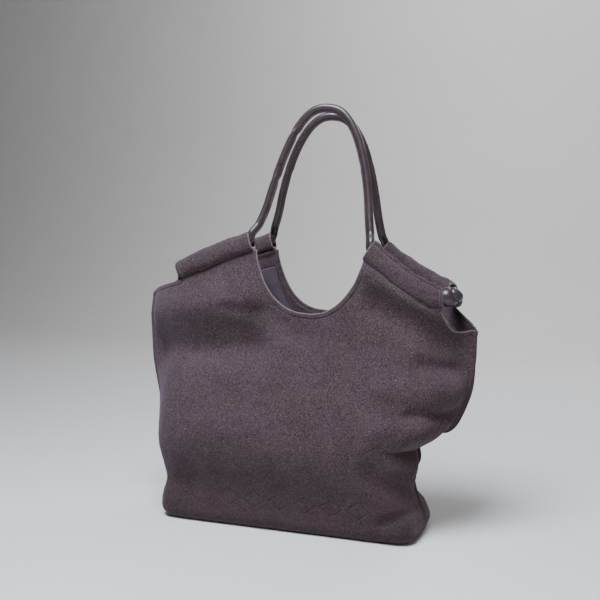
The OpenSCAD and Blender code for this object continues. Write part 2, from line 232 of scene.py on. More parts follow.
# ---------------------------------------------------------------- folds and puckers of the cloth
# Each fold: which panel (-1 front, 1 back, 0 both), its line in x and z, width, height.
FOLDS = [
    (-1, (-0.160, 0.146), (0.130, 0.136), 0.085, 0.0150),
    (-1, (-0.250, 0.268), (-0.060, 0.280), 0.028, -0.0115),
    (-1, (-0.240, 0.334), (-0.080, 0.356), 0.034, 0.0115),
    (-1, (-0.110, 0.340), (-0.045, 0.338), 0.010, -0.0022),
    (-1, (0.120, 0.396), (0.240, 0.326), 0.018, 0.0058),
    (-1, (0.135, 0.344), (0.262, 0.284), 0.022, -0.0080),
    (-1, (0.205, 0.262), (0.275, 0.250), 0.013, -0.0070),
    (-1, (0.150, 0.228), (0.240, 0.224), 0.022, 0.0062),
    (-1, (0.185, 0.188), (0.245, 0.192), 0.011, -0.0058),
    (-1, (0.150, 0.166), (0.205, 0.172), 0.016, 0.0050),
    (-1, (0.168, 0.136), (0.136, 0.110), 0.017, -0.0026),
    (-1, (0.188, 0.120), (0.176, 0.086), 0.011, 0.0035),
    (-1, (0.130, 0.098), (0.178, 0.066), 0.015, -0.0055),
    (-1, (0.150, 0.030), (0.212, 0.056), 0.009, -0.0045),
    (-1, (-0.150, 0.056), (0.110, 0.050), 0.040, -0.0060),
    (-1, (-0.215, 0.082), (-0.170, 0.060), 0.026, -0.0050),
    (-1, (-0.060, 0.330), (0.010, 0.300), 0.016, -0.0025),
    (1, (-0.180, 0.230), (0.160, 0.215), 0.080, 0.0090),
    (1, (-0.240, 0.280), (-0.060, 0.300), 0.018, -0.0045),
    (1, (0.120, 0.340), (0.255, 0.290), 0.020, -0.0045),
    (1, (0.205, 0.150), (0.120, 0.112), 0.016, -0.0075),
    (1, (0.140, 0.172), (0.210, 0.180), 0.018, 0.0050),
    (1, (0.120, 0.090), (0.180, 0.060), 0.016, -0.0050),
    (1, (-0.140, 0.080), (0.100, 0.072), 0.050, -0.0055),
    (1, (-0.205, 0.120), (-0.120, 0.150), 0.018, -0.0040),
    (0, (-0.235, 0.058), (-0.195, 0.060), 0.018, -0.0045),
]


def waves(u, v, count, shortest, longest, seed):
    """Smooth seeded unevenness with a spread of wavelengths, about 1 high."""
    rng = np.random.default_rng(seed)
    total = 0 * u
    for _ in range(count):
        wavelength = rng.uniform(shortest, longest)
        angle, phase = rng.uniform(0, math.pi), rng.uniform(0, 2 * math.pi)
        across = u * math.cos(angle) + v * math.sin(angle)
        total = total + np.sin(2 * math.pi / wavelength * across + phase)
    return total / math.sqrt(count)


def relief(points, s, side):
    """Outward height of the cloth over the smooth body at each point."""
    x, z = points[..., 0], points[..., 2]
    height = 0.0008 * waves(s, z, 14, 0.050, 0.160, 7 + side)
    height = height + 0.00018 * waves(s, z, 18, 0.012, 0.030, 20 + side)
    for panel, a, b, width, tall in FOLDS:
        if panel not in (0, side):
            continue
        ax, az, dx, dz = a[0], a[1], b[0] - a[0], b[1] - a[1]
        t = np.clip(((x - ax) * dx + (z - az) * dz) / (dx * dx + dz * dz), 0, 1)
        gap = np.hypot(x - ax - t * dx, z - az - t * dz)
        height = height + tall * bell(gap, 0, width)
    near_seam = 1 - ease(abs(s), HALF_CLOTH - 0.030, HALF_CLOTH)
    return FOLD_STRENGTH * height * near_seam * ease(z, 0.004, 0.030)


def edge_gap(s, z, side):
    """Distance of each point of the cloth from the panel's neckline and notches, on the flat."""
    neckline = np.linspace(-NECK_HALF, NECK_HALF, 200)
    notch = np.linspace(SHOULDER_HALF, HALF_CLOTH, 50)
    free = np.concatenate([neckline, notch, -notch])
    gap = np.full(s.shape, 1.0)
    for at, edge in zip(free, rounded_top(free, side)):
        gap = np.minimum(gap, np.hypot(s - at, z - edge))
    return gap


def spaced(*stops):
    """Cloth positions between stops, each stop being (position, count to the next one)."""
    parts = [np.linspace(a[0], b[0], a[1], endpoint=False) for a, b in zip(stops, stops[1:])]
    return np.concatenate(parts + [[stops[-1][0]]])


HALF_COLUMNS = spaced((0, 26), (0.062, 14), (0.082, 10), (NECK_HALF, 6), (0.096, 50), (0.200, 12),
                      (SHOULDER_HALF, 10), (0.224, 26), (HALF_CLOTH - 0.008, 8), (HALF_CLOTH, 0))
COLUMNS = np.concatenate([-HALF_COLUMNS[:0:-1], HALF_COLUMNS])
WALL_ROWS = 120
HEM_ROWS = 26
ROUND_ROWS = 8
FLOOR_ROWS = 6


def rounded_top(s, side):
    """Top edge of a panel with its corners at the side seams rounded off."""
    corner = np.maximum(0, (abs(s) - HALF_CLOTH) / CORNER_RUN + 1)
    return top_edge(s, side) - CORNER_DROP * corner ** 2


def base_grid(side):
    """Rows of points from the middle line under the base, round its soft edge, to the wall."""
    s = COLUMNS
    half = BASE_LENGTH / 2
    xw, yw = section(abs(s), 0 * s + BASE_EDGE)
    xi = xw * (half - BASE_EDGE) / (half + 0.003)
    yi = yw * (BASE_DEPTH / 2 - BASE_EDGE) / (BASE_DEPTH / 2)
    edge = []
    for turn in np.linspace(0, math.pi / 2, ROUND_ROWS + 1):
        w = math.sin(turn)
        edge.append(settled(np.sign(s) * (xi + (xw - xi) * w), side * (yi + (yw - yi) * w),
                            0 * s + BASE_EDGE * (1 - math.cos(turn))))
    line = settled(s / HALF_CLOTH * (half - BASE_EDGE - 0.014), side * SEAM_GAP + 0 * s, 0 * s)
    floor = [line + (edge[0] - line) * k / FLOOR_ROWS for k in range(FLOOR_ROWS)]
    return np.array(floor + edge)


def wall_grid(side):
    """Rows of points from the soft edge up to the top edge, and their heights before settling."""
    top = rounded_top(COLUMNS, side)
    low = [BASE_EDGE + (top - FACING_DROP - BASE_EDGE) * k / WALL_ROWS for k in range(1, WALL_ROWS + 1)]
    high = [top - FACING_DROP * (1 - k / HEM_ROWS) for k in range(1, HEM_ROWS + 1)]
    z = np.array(low + high)
    s = np.broadcast_to(COLUMNS, z.shape)
    x, y = section(abs(s), z)
    return settled(np.sign(s) * x, side * y, z), z


def sewn_edges(s, z, side):
    """Height of the turned hem, the tuck under each casing and the grooves of the side seams."""
    gap = edge_gap(s, z, side)
    hem = 0.0007 * (1 - ease(gap, HEM - 0.001, HEM + 0.001)) - 0.0009 * bell(gap, HEM, 0.0011)
    inset = HALF_CLOTH - abs(s)
    seam = -0.0016 * bell(inset, 0, 0.0022) - 0.0017 * bell(inset, SEAM_ALLOWANCE, 0.0015)
    below = rounded_top(s, side) - z
    tuck = -0.0022 * bell(below, 0, 0.0045) * ease(abs(s), NECK_HALF + 0.001, NECK_HALF + 0.012)
    tuck = tuck * (1 - ease(abs(s), SHOULDER_HALF - 0.016, SHOULDER_HALF - 0.006))
    return (hem + tuck) * ease(z, 0.2, 0.3) + seam * ease(z, 0.01, 0.03)


def body_grid(side):
    """Points and outward normals of one panel's outer face, from under the base to its top edge."""
    base = base_grid(side)
    wall, z = wall_grid(side)
    smooth = np.concatenate([base, wall])
    s = np.broadcast_to(COLUMNS, smooth.shape[:2])
    z = np.concatenate([np.zeros(base.shape[:2]), z])
    height = relief(smooth, s, side) + sewn_edges(s, z, side)
    points = smooth + normals(smooth, side) * height[..., None]
    apart = FELT_APART * abs(softened(normals(points, side), 3)[..., 1]) * ease(z, 0.02, 0.07)
    points[..., 1] = side * np.hypot(np.maximum(side * points[..., 1], SEAM_GAP), apart)
    points[..., 2] = np.maximum(points[..., 2], 0)
    return points, softened(normals(points, side))


def softened(normal, rounds=6):
    """Normals averaged with their neighbours, so that inner layers don't cross in a tight fold."""
    for _ in range(rounds):
        for axis in (0, 1):
            normal = normal.copy()
            middle = [slice(None)] * 3
            before, after = list(middle), list(middle)
            middle[axis], before[axis], after[axis] = slice(1, -1), slice(None, -2), slice(2, None)
            total = normal[tuple(before)] + normal[tuple(middle)] + normal[tuple(after)]
            normal[tuple(middle)] = total / 3
    return normal / np.maximum(np.linalg.norm(normal, axis=-1, keepdims=True), 1e-12)


def normals(grid, side):
    """Unit normals of a grid of points, outwards from the bag."""
    across = np.cross(np.gradient(grid, axis=1), np.gradient(grid, axis=0))
    return -side * across / np.maximum(np.linalg.norm(across, axis=-1, keepdims=True), 1e-12)


# ---------------------------------------------------------------- mesh building
def mesh_object(name, points, faces, material):
    """Smooth-shaded mesh with its faces turned outwards."""
    mesh = bpy.data.meshes.new(name)
    mesh.from_pydata([tuple(p) for p in np.asarray(points).reshape(-1, 3)], [], faces)
    tidy = bmesh.new()
    tidy.from_mesh(mesh)
    bmesh.ops.recalc_face_normals(tidy, faces=tidy.faces)
    tidy.to_mesh(mesh)
    tidy.free()
    mesh.polygons.foreach_set("use_smooth", [True] * len(mesh.polygons))
    mesh.materials.append(material)
    piece = bpy.data.objects.new(name, mesh)
    bpy.context.scene.collection.objects.link(piece)
    return piece


def grid_faces(rows, cols, wrap_rows=False, wrap_cols=False):
    """Four-sided faces of a grid of points, numbered row by row."""
    faces = []
    for r in range(rows if wrap_rows else rows - 1):
        here, above = r * cols, (r + 1) % rows * cols
        for c in range(cols if wrap_cols else cols - 1):
            beside = (c + 1) % cols
            faces.append((here + c, here + beside, above + beside, above + c))
    return faces


def cloth_shell(name, points, normal, near, far, side, material, rim=3, floor=None, rim_material=None):
    """Closed sheet between two depths under a grid of points, with a rounded top edge."""
    outer = points - normal * near
    inner = points - normal * far
    for layer, depth in ((outer, near), (inner, far)):
        layer[..., 1] = side * np.maximum(side * layer[..., 1], SEAM_GAP)
        if floor is not None:
            layer[..., 2] = np.maximum(layer[..., 2], floor + depth)
    onwards = np.gradient(outer[-1], axis=0)
    up = np.cross(onwards, normal[-1])
    up /= np.linalg.norm(up, axis=-1, keepdims=True)
    up *= np.sign((up * (outer[-1] - outer[-2])).sum(-1).mean())
    half = (far - near) / 2
    edge = []
    for k in range(1, rim + 1):
        turn = math.pi * k / (rim + 1)
        middle = (outer[-1] + inner[-1]) / 2
        edge.append(middle + normal[-1] * half * math.cos(turn) + up * half * math.sin(turn))
    loop = np.concatenate([outer, np.array(edge).reshape(-1, outer.shape[1], 3), inner[::-1]])
    rows, cols = loop.shape[:2]
    faces = grid_faces(rows, cols, wrap_rows=True)
    n = outer.shape[0]
    for c in (0, cols - 1):
        for r in range(n - 1):
            back = rows - 1 - r
            faces.append((r * cols + c, (r + 1) * cols + c, (back - 1) * cols + c, back * cols + c))
        faces.append(tuple(r * cols + c for r in range(n - 1, rows - n + 1)))
    shell = mesh_object(name, loop, faces, material)
    if rim_material is not None:
        shell.data.materials.append(rim_material)
        for face in shell.data.polygons[(n - 1) * (cols - 1):(n + rim) * (cols - 1)]:
            face.material_index = 1
    return shell


def path_frames(path, up):
    """Direction and two cross axes at each point of a path; up gives the reference axis."""
    t = np.gradient(path, axis=0)
    t /= np.linalg.norm(t, axis=1, keepdims=True)
    n = np.cross(t, np.broadcast_to(up, t.shape))
    n /= np.linalg.norm(n, axis=1, keepdims=True)
    return t, n, np.cross(n, t)


def turning_frames(path):
    """Frames carried along a path with the least twist, for paths that turn every way."""
    t = np.gradient(path, axis=0)
    t /= np.linalg.norm(t, axis=1, keepdims=True)
    n = np.zeros_like(t)
    start = np.cross(t[0], (0.1, 0.2, 1.0))
    n[0] = start / np.linalg.norm(start)
    for k in range(1, len(t)):
        v = n[k - 1] - t[k] * (n[k - 1] @ t[k])
        n[k] = v / np.linalg.norm(v)
    return t, n, np.cross(n, t)


def tube(name, path, frames, outline, material):
    """Closed solid swept along a path; outline(k) gives ring k's points across the path."""
    _, n, b = frames
    rings = [path[k] + outline(k)[:, :1] * n[k] + outline(k)[:, 1:] * b[k] for k in range(len(path))]
    rings.insert(1, 0.97 * rings[0] + 0.03 * rings[1])  # these two keep the flat ends out of the shading
    rings.insert(-1, 0.97 * rings[-1] + 0.03 * rings[-2])
    cols = len(rings[0])
    faces = grid_faces(len(rings), cols, wrap_cols=True)
    faces.append(tuple(range(cols)))
    faces.append(tuple((len(rings) - 1) * cols + k for k in range(cols)))
    solid = mesh_object(name, np.array(rings), faces, material)
    for cap in solid.data.polygons[len(faces) - 2:]:
        cap.use_smooth = False
    return solid


def smooth_path(stops, step):
    """Points every step along a smooth curve through the stops; further columns are carried along."""
    stops = np.asarray(stops, float)
    ends = np.vstack([2 * stops[0] - stops[1], stops, 2 * stops[-1] - stops[-2]])
    fine = []
    for k in range(1, len(ends) - 2):
        p0, p1, p2, p3 = ends[k - 1:k + 3]
        for t in np.linspace(0, 1, 24, endpoint=False):
            fine.append(0.5 * (2 * p1 + (p2 - p0) * t + (2 * p0 - 5 * p1 + 4 * p2 - p3) * t ** 2
                               + (3 * p1 - p0 - 3 * p2 + p3) * t ** 3))
    fine.append(stops[-1])
    return resampled(np.array(fine), step)


def run_length(path):
    """Length along a path up to each of its points."""
    return np.concatenate([[0], np.cumsum(np.linalg.norm(np.diff(path[:, :3], axis=0), axis=1))])


def along(path, run, at):
    """Point of a path, or of values along it, at a length along it."""
    return np.array([np.interp(at, run, column) for column in path.T])


def resampled(path, step):
    """The same path with points every step."""
    length = run_length(path)
    count = max(2, int(round(length[-1] / step)) + 1)
    at = np.linspace(0, length[-1], count)
    return np.stack([np.interp(at, length, column) for column in path.T], axis=1)


def stitches(name, lines, material, pitch, length, thick=0.00032):
    """Thread stitches along lines; each line is (points, normals)."""
    points, faces = [], []
    sides = 6
    ring = [(math.cos(a), math.sin(a)) for a in np.linspace(0, 2 * math.pi, sides + 1)[:-1]]
    profile = [(-0.5, 0.25), (-0.38, 0.85), (0.0, 1.0), (0.38, 0.85), (0.5, 0.25)]
    tube_faces = grid_faces(len(profile), sides, wrap_cols=True)
    tube_faces += [tuple(range(sides)), tuple(range((len(profile) - 1) * sides, len(profile) * sides))]
    for path, normal in lines:
        run = run_length(path)
        for at in np.arange(pitch / 2, run[-1], pitch):
            p = along(path, run, at)
            t = along(path, run, min(at + 0.001, run[-1])) - along(path, run, max(at - 0.001, 0))
            t /= np.linalg.norm(t)
            m = along(normal, run, at)
            m = m - t * (m @ t)
            m /= np.linalg.norm(m)
            b = np.cross(t, m)
            base = len(points)
            raised = m * (thick * 0.5 - THREAD_SINK)
            for u, w in profile:
                for c, d in ring:
                    points.append(p + t * u * length + (b * c + m * d) * w * thick + raised)
            faces += [tuple(base + k for k in face) for face in tube_faces]
    return mesh_object(name, points, faces, material)


# ---------------------------------------------------------------- materials
class Nodes:
    """Short hand for building one material's node tree."""

    def __init__(self, name):
        self.material = bpy.data.materials.new(name)
        self.material.use_nodes = True
        self.tree = self.material.node_tree
        self.shader = self.tree.nodes["Principled BSDF"]
        self.place = self.add("ShaderNodeTexCoord").outputs["Object"]

    def add(self, kind, **settings):
        """New node of a kind, with its settings."""
        node = self.tree.nodes.new(kind)
        for key, value in settings.items():
            setattr(node, key, value)
        return node

    def link(self, source, target):
        self.tree.links.new(source, target)

    def put(self, node, **values):
        """Sets a node's inputs by name, each to a value or to another node's output."""
        for key, value in values.items():
            socket = node.inputs[key.replace("_", " ")]
            if isinstance(value, bpy.types.NodeSocket):
                self.link(value, socket)
            else:
                socket.default_value = value
        return node

    def across_and_up(self):
        """The place's x and z, in metres in the CAD frame."""
        split = self.put(self.add("ShaderNodeSeparateXYZ"), Vector=self.place)
        return split.outputs["X"], split.outputs["Z"]

    def stretched(self, scale, rotation=(0, 0, 0)):
        """The place, scaled and turned, for patterns that run one way."""
        node = self.put(self.add("ShaderNodeMapping"), Vector=self.place, Scale=scale, Rotation=rotation)
        return node.outputs["Vector"]

    def noise(self, scale, detail, vector=None, distortion=0.0, roughness=0.5):
        node = self.put(self.add("ShaderNodeTexNoise"), Vector=vector or self.place, Scale=scale)
        self.put(node, Detail=detail, Distortion=distortion, Roughness=roughness)
        return node.outputs["Fac"]

    def cells(self, scale):
        node = self.put(self.add("ShaderNodeTexVoronoi"), Vector=self.place, Scale=scale)
        return node.outputs["Distance"]

    def ramp(self, value, *stops):
        """Colour or grey between stops of (position, colour or grey)."""
        node = self.add("ShaderNodeValToRGB")
        self.link(value, node.inputs["Fac"])
        band = node.color_ramp
        while len(band.elements) < len(stops):
            band.elements.new(0.5)
        for element, (at, colour) in zip(band.elements, stops):
            element.position = at
            element.color = (*colour, 1) if isinstance(colour, tuple) else (colour, colour, colour, 1)
        return node.outputs["Color"]

    def mix(self, amount, a, b):
        """Colour a where the amount is 0 and b where it is 1."""
        node = self.add("ShaderNodeMix", data_type="RGBA", blend_type="MIX")
        for socket, value in ((node.inputs[0], amount), (node.inputs[6], a), (node.inputs[7], b)):
            if isinstance(value, bpy.types.NodeSocket):
                self.link(value, socket)
            elif isinstance(value, tuple):
                socket.default_value = (*value, 1)
            else:
                socket.default_value = value
        return node.outputs[2]

    def math(self, operation, a, b=0.0, c=0.0, clamp=False):
        node = self.add("ShaderNodeMath", operation=operation, use_clamp=clamp)
        for socket, value in zip(node.inputs, (a, b, c)):
            if isinstance(value, bpy.types.NodeSocket):
                self.link(value, socket)
            else:
                socket.default_value = value
        return node.outputs[0]

    def bump(self, height, distance, strength, after=None):
        """Fine relief, laid over another one where after is given."""
        node = self.put(self.add("ShaderNodeBump"), Height=height, Distance=distance, Strength=strength)
        if after is not None:
            self.link(after, node.inputs["Normal"])
        return node.outputs["Normal"]

    def finish(self, colour, roughness, normal, **values):
        """Fills the surface shader and returns the material."""
        self.put(self.shader, Base_Color=colour, Roughness=roughness, Normal=normal, **values)
        return self.material


def wool_material(name, embossed=False):
    """Melange felt: dark aubergine with pale and dark fibres, a slight mottle, and painted shade that
    darkens it near the floor.
    """
    m = Nodes(name)
    mottle = m.noise(30, 4)
    ground = m.ramp(mottle, (0.30, (0.0365, 0.0205, 0.0212)), (0.70, (0.052, 0.0320, 0.0340)))
    flecks = m.noise(760, 3, roughness=0.75)
    colour = m.mix(m.ramp(flecks, (0.48, 0.0), (0.70, 0.80)), ground, (0.128, 0.096, 0.110))
    dark = m.noise(460, 3, vector=m.stretched((1, 1, 1.4), (0.4, 0.9, 0.2)), roughness=0.7)
    colour = m.mix(m.ramp(dark, (0.34, 0.85), (0.52, 0.0)), colour, (0.011, 0.006, 0.0075))
    fibres = m.noise(1000, 1, vector=m.stretched((0.35, 1.0, 1.0), (0.3, 0.5, 0.8)), distortion=0.6)
    crossing = m.noise(1000, 1, vector=m.stretched((1.0, 1.0, 0.30), (0.7, 0.2, -0.5)), distortion=0.6)
    strands = [m.ramp(noise, (0.62, 0.0), (0.72, 1.0)) for noise in (fibres, crossing)]
    strand = m.math("MAXIMUM", *strands)
    colour = m.mix(m.math("MULTIPLY", strand, 0.36), colour, (0.205, 0.160, 0.180))
    # Painted shade: the felt is darkened towards the floor, most below 3 cm and not at all above 17 cm.
    _, height_above_floor = m.across_and_up()
    colour = m.mix(m.ramp(height_above_floor, (0.03, 0.42), (0.17, 0.0)), colour, (0.017, 0.0090, 0.0070))
    height = m.math("ADD", m.noise(260, 5, roughness=0.65), m.math("MULTIPLY", strand, 0.35))
    normal = m.bump(height, 0.0010, 0.6)
    if embossed:
        pattern = lozenge_band(m)
        normal = m.bump(pattern, 0.0012, 0.7, after=normal)
        pressed = m.math("SUBTRACT", 1.0, pattern)
        colour = m.mix(m.math("MULTIPLY", pressed, 0.10), colour, (0.016, 0.010, 0.013))
    return m.finish(colour, 0.95, normal, Sheen_Weight=0.12, Sheen_Roughness=0.5,
                    Sheen_Tint=(0.85, 0.68, 0.82, 1), Specular_IOR_Level=0.15)


def edge_and_highlight_material():
    """Cut and turned edges of the felt, paler and warmer than its face: partly the raw felt's own tone,
    partly a painted highlight where the edge catches the light.
    """
    m = Nodes("felt edge and painted highlight")
    patch = m.ramp(m.noise(500, 3), (0.35, 0.0), (0.65, 1.0))
    # The pale edge colour is partly a painted highlight of the light caught by the turned edge.
    colour = m.mix(patch, (0.075, 0.052, 0.052), (0.150, 0.112, 0.112))
    nap = m.bump(m.noise(420, 4), 0.0008, 0.6)
    return m.finish(colour, 0.95, nap, Sheen_Weight=0.3, Specular_IOR_Level=0.2)


def lozenge_band(m, left=-0.118, pitch=0.042, count=6, middle=0.045, half=0.0145):
    """A pressed row of plain lozenges near the base: 1 on the cloth, 0 in the pressed lines."""
    across, up = m.across_and_up()
    place = m.math("DIVIDE", m.math("SUBTRACT", across, left), pitch)
    begun = m.math("GREATER_THAN", place, 0.0)
    inside = m.math("MULTIPLY", begun, m.math("LESS_THAN", place, float(count)))
    from_middle = m.math("ABSOLUTE", m.math("SUBTRACT", m.math("FRACT", place), 0.5))
    wide = m.math("MULTIPLY", from_middle, 2.0)
    tall = m.math("DIVIDE", m.math("ABSOLUTE", m.math("SUBTRACT", up, middle)), half)
    ring = m.math("ABSOLUTE", m.math("SUBTRACT", m.math("ADD", wide, tall), 0.86))
    line = m.math("SUBTRACT", 1.0, m.math("SMOOTH_MIN", m.math("DIVIDE", ring, 0.16), 1.0, 0.4), clamp=True)
    return m.math("SUBTRACT", 1.0, m.math("MULTIPLY", line, inside), clamp=True)


def lining_material():
    """Smooth dark twill lining."""
    m = Nodes("lining twill")
    twill = m.add("ShaderNodeTexWave", wave_type="BANDS", bands_direction="DIAGONAL")
    m.put(twill, Vector=m.place, Scale=240, Distortion=1.2, Detail=2)
    colour = m.mix(twill.outputs["Fac"], (0.030, 0.019, 0.027), (0.058, 0.039, 0.054))
    colour = m.mix(m.ramp(m.noise(60, 3), (0.35, 0.0), (0.75, 0.5)), colour, (0.070, 0.049, 0.066))
    return m.finish(colour, 0.72, m.bump(twill.outputs["Fac"], 0.0003, 0.6), Sheen_Weight=0.08)


def leather_material(name, tone=1.0):
    """Smooth dark brown leather with fine grain and a satin polish."""
    m = Nodes(name)
    patch = m.noise(55, 4)
    dark = tuple(c * tone for c in (0.024, 0.0140, 0.0165))
    pale = tuple(c * tone for c in (0.046, 0.029, 0.033))
    colour = m.mix(m.ramp(patch, (0.3, 0.0), (0.75, 1.0)), dark, pale)
    grain = m.cells(1500)
    creases = m.noise(420, 4, vector=m.stretched((1, 1, 0.5)), roughness=0.6)
    height = m.math("ADD", m.math("MULTIPLY", grain, 0.5), creases)
    rough = m.ramp(m.noise(120, 3), (0.3, 0.26), (0.8, 0.42))
    return m.finish(colour, rough, m.bump(height, 0.00035, 0.2), Specular_IOR_Level=0.42, Coat_Weight=0.12,
                    Coat_Roughness=0.22)


def thread_material(name, colour):
    """Twisted sewing thread."""
    m = Nodes(name)
    twist = m.noise(1800, 1, vector=m.stretched((1, 1, 3), (0.5, 0.3, 0)))
    tone = m.mix(m.ramp(twist, (0.4, 0.0), (0.6, 1.0)), tuple(c * 0.6 for c in colour), colour)
    return m.finish(tone, 0.6, m.bump(twist, 0.0002, 0.6), Sheen_Weight=0.2)


def cord_material():
    """Twisted cotton piping cord."""
    m = Nodes("piping cord")
    twist = m.add("ShaderNodeTexWave", wave_type="BANDS", bands_direction="DIAGONAL")
    m.put(twist, Vector=m.place, Scale=160, Distortion=0.8, Detail=2)
    colour = m.mix(twist.outputs["Fac"], (0.36, 0.33, 0.27), (0.58, 0.54, 0.46))
    return m.finish(colour, 0.85, m.bump(twist.outputs["Fac"], 0.0006, 0.8))


def board_material():
    """Pressed fibre board."""
    m = Nodes("fibre board")
    fibre = m.noise(300, 4, vector=m.stretched((0.4, 1, 1)))
    colour = m.mix(fibre, (0.20, 0.14, 0.085), (0.36, 0.28, 0.19))
    return m.finish(colour, 0.85, m.bump(fibre, 0.0003, 0.5))


def floor_material():
    """Plain pale floor."""
    m = Nodes("pale floor")
    colour = m.mix(m.noise(6, 4), (0.66, 0.655, 0.645), (0.70, 0.695, 0.685))
    return m.finish(colour, 0.75, m.bump(m.noise(400, 3), 0.0003, 0.2))


# ---------------------------------------------------------------- camera, light and floor
def camera():
    """Camera where the photographer stood: to the bag's right, at the height of its shoulders."""
    lens = bpy.data.cameras.new("camera")
    lens.lens = 50
    lens.sensor_width = 36
    lens.clip_start = 0.01
    eye = bpy.data.objects.new("camera", lens)
    bpy.context.scene.collection.objects.link(eye)
    eye.location = (0.4594, -1.236, 0.432)
    eye.rotation_euler = (math.radians(90 - 3.45), 0, math.radians(20.6))
    bpy.context.scene.camera = eye


def area_light(name, place, aim, size, power, colour):
    """Square light at a place, turned towards its aim."""
    light = bpy.data.lights.new(name, "AREA")
    light.energy = power
    light.size = size
    light.color = colour
    lamp = bpy.data.objects.new(name, light)
    bpy.context.scene.collection.objects.link(lamp)
    away = np.array(place) - np.array(aim)
    lamp.location = place
    tilt = math.atan2(math.hypot(away[0], away[1]), away[2])
    lamp.rotation_euler = (tilt, 0, math.atan2(away[0], -away[1]))


def backdrop():
    """Pale floor that curves up into a pale wall far behind the bag."""
    back, radius = 2.2, 1.6
    profile = [(-6, 0), (back, 0)]
    turn = np.linspace(0.1, math.pi / 2, 16)
    profile += [(back + radius * math.sin(a), radius - radius * math.cos(a)) for a in turn]
    profile += [(back + radius, 6)]
    points = [(x, y, z - FLOOR_DROP) for x in (-7, 7) for y, z in profile]
    count = len(profile)
    faces = [(k, count + k, count + k + 1, k + 1) for k in range(count - 1)]
    return mesh_object("floor", points, faces, floor_material())


def stage():
    """Soft studio light from above, with weak fills, on the floor and its wall."""
    area_light("sky", (-0.06, -0.76, 1.55), (0, 0, 0.2), 0.8, 63, (0.80, 0.87, 1.0))
    area_light("front", (-1.9, -2.2, 1.3), (0, 0, 0.25), 1.4, 1.5, (1.0, 0.95, 0.91))
    area_light("right", (2.2, -0.8, 0.7), (0.1, 0, 0.25), 0.9, 5, (1.0, 0.90, 0.82))
    area_light("wall", (0, 1.5, 2.7), (0, 3.8, 1.4), 1.6, 68, (1.0, 1.0, 1.0))
    area_light("rim", (0.9, 1.7, 1.9), (0, 0, 0.4), 1.0, 17, (0.96, 0.97, 1.0))
    world = bpy.data.worlds.new("studio")
    world.use_nodes = True
    world.node_tree.nodes["Background"].inputs[0].default_value = (0.90, 0.87, 0.85, 1)
    world.node_tree.nodes["Background"].inputs[1].default_value = 0.15
    bpy.context.scene.world = world
    backdrop()


camera()
stage()
WOOL_PLAIN = wool_material("wool felt")
WOOL_FRONT = wool_material("wool felt, pressed row", embossed=True)
FELT_EDGE_AND_HIGHLIGHT = edge_and_highlight_material()
LINING_CLOTH = lining_material()
LEATHER = leather_material("rolled leather")
KNOT_LEATHER = leather_material("knotted leather", 0.9)
THREAD = thread_material("wool thread", (0.120, 0.085, 0.100))
LEATHER_THREAD = thread_material("leather thread", (0.150, 0.110, 0.100))
CORD = cord_material()
BOARD = board_material()
SIDE_NAME = {-1: "front", 1: "back"}
HAND_NAME = {-1: "left", 1: "right"}


# ---------------------------------------------------------------- panels, facings and linings
def panel_pieces(side):
    """One panel's felt, with the facing along its top edge and the lining inside it."""
    name = SIDE_NAME[side]
    points, normal = body_grid(side)
    felt = WOOL_FRONT if side < 0 else WOOL_PLAIN
    # The panel's top rim gets the paler edge felt, which is partly a painted highlight.
    wool = cloth_shell(f"{name}_wool", points, normal, 0, WOOL, side, felt, rim=5, rim_material=FELT_EDGE_AND_HIGHLIGHT)
    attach(wool, "bag")
    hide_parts(f"{name}_panel")
    first = len(points) - HEM_ROWS
    near = WOOL + LAYER_GAP
    far = near + FACING
    strip = cloth_shell(f"{name}_facing_strip", points[first:], normal[first:], near, far, side, WOOL_PLAIN)
    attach(strip, "bag")
    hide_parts(f"{name}_facing")
    near_lining = near + 0.0003
    lined = cloth_shell(f"{name}_lining_cloth", points[:first], normal[:first], near_lining,
                        near_lining + LINING, side, LINING_CLOTH, rim=1, floor=LINING_FLOOR - near)
    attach(lined, "bag")
    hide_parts(f"{name}_lining")


for side in (-1, 1):
    panel_pieces(side)


# ---------------------------------------------------------------- casings
CASING_RINGS = 100


